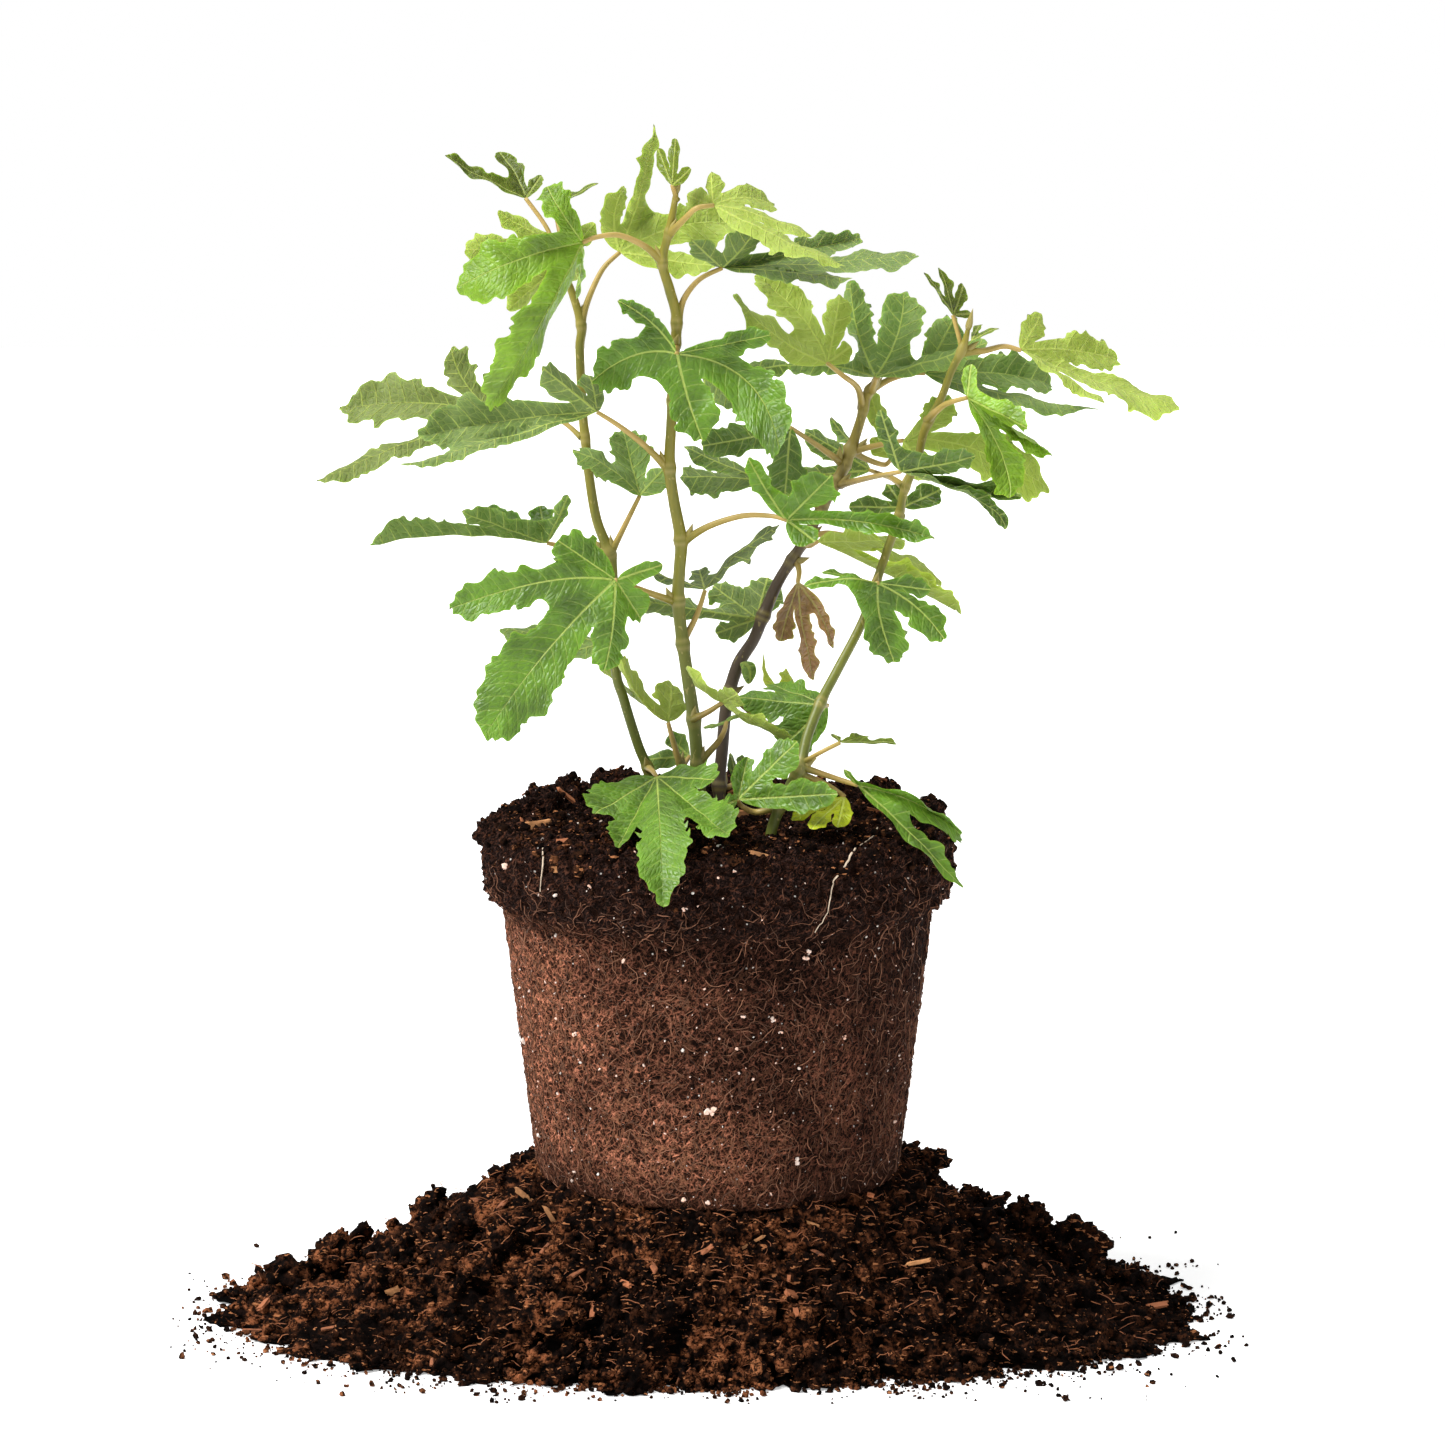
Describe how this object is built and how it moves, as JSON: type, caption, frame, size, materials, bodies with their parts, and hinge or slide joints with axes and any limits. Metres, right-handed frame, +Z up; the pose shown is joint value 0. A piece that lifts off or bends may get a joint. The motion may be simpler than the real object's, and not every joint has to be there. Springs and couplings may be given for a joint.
{
  "type": "young fig plant with bare root ball",
  "caption": "Young fig plant out of its pot: a pot-shaped root ball standing in a heap of loose dark soil, slender stems and lobed, toothed leaves.",
  "frame": {"origin": "on the soil heap's flat bottom, straight below the root ball's axis", "axes": "+Z up along the root ball's axis, -Y towards the side seen in the picture, +X to that view's right"},
  "size_m": [0.3443, 0.2104, 0.4218],
  "materials": {
    "leaf_mature": "semi-gloss upper side of a full-grown leaf",
    "leaf_dark": "shaded dark green leaf",
    "leaf_dull": "grey-green underside of a leaf",
    "leaf_pale": "thin leaf with the light coming through",
    "leaf_young": "small folded young leaf",
    "leaf_yellow": "ageing yellow-green leaf",
    "leaf_dead": "dry brown curled leaf",
    "stem_green": "smooth yellow-olive young stem",
    "stem_bark": "grey-brown bark",
    "root_mat": "matted fine roots and moist potting soil, matt",
    "loose_soil": "dark crumbly moist soil, matt"
  },
  "bodies": {
    "root": {"leaf_left_1": "leaf_mature", "leaf_left_2": "leaf_mature", "leaf_left_3": "leaf_mature", "leaf_left_4": "leaf_young", "leaf_left_5": "leaf_pale", "leaf_left_6": "leaf_pale", "leaf_left_7": "leaf_young", "leaf_left_8": "leaf_young", "leaf_low_1": "leaf_mature", "leaf_low_2": "leaf_mature", "leaf_low_3": "leaf_dark", "leaf_low_4": "leaf_mature", "leaf_right_1": "leaf_dull", "leaf_right_10": "leaf_mature", "leaf_right_11": "leaf_pale", "leaf_right_12": "leaf_young", "leaf_right_13": "leaf_young", "leaf_right_2": "leaf_yellow", "leaf_right_3": "leaf_mature", "leaf_right_4": "leaf_young", "leaf_right_5": "leaf_mature", "leaf_right_7": "leaf_mature", "leaf_right_8": "leaf_dark", "leaf_right_9": "leaf_dark", "leaf_tall_1": "leaf_pale", "leaf_tall_10": "leaf_dark", "leaf_tall_11": "leaf_pale", "leaf_tall_12": "leaf_young", "leaf_tall_2": "leaf_pale", "leaf_tall_3": "leaf_dull", "leaf_tall_4": "leaf_mature", "leaf_tall_5": "leaf_mature", "leaf_tall_6": "leaf_dark", "leaf_tall_7": "leaf_mature", "leaf_tall_8": "leaf_dark", "leaf_tall_9": "leaf_mature", "leaf_woody_1": "leaf_mature", "leaf_woody_10": "leaf_pale", "leaf_woody_11": "leaf_pale", "leaf_woody_12": "leaf_mature", "leaf_woody_13": "leaf_mature", "leaf_woody_14": "leaf_yellow", "leaf_woody_2": "leaf_dark", "leaf_woody_3": "leaf_dead", "leaf_woody_4": "leaf_pale", "leaf_woody_5": "leaf_pale", "leaf_woody_6": "leaf_dark", "leaf_woody_7": "leaf_dark", "leaf_woody_8": "leaf_dark", "leaf_woody_9": "leaf_pale", "root_ball": "root_mat", "shoot_low": "stem_green", "soil_heap": "loose_soil", "stem_left": "stem_green", "stem_right": "stem_green", "stem_tall": "stem_green", "stem_woody": "stem_bark"}
  },
  "joints": []
}
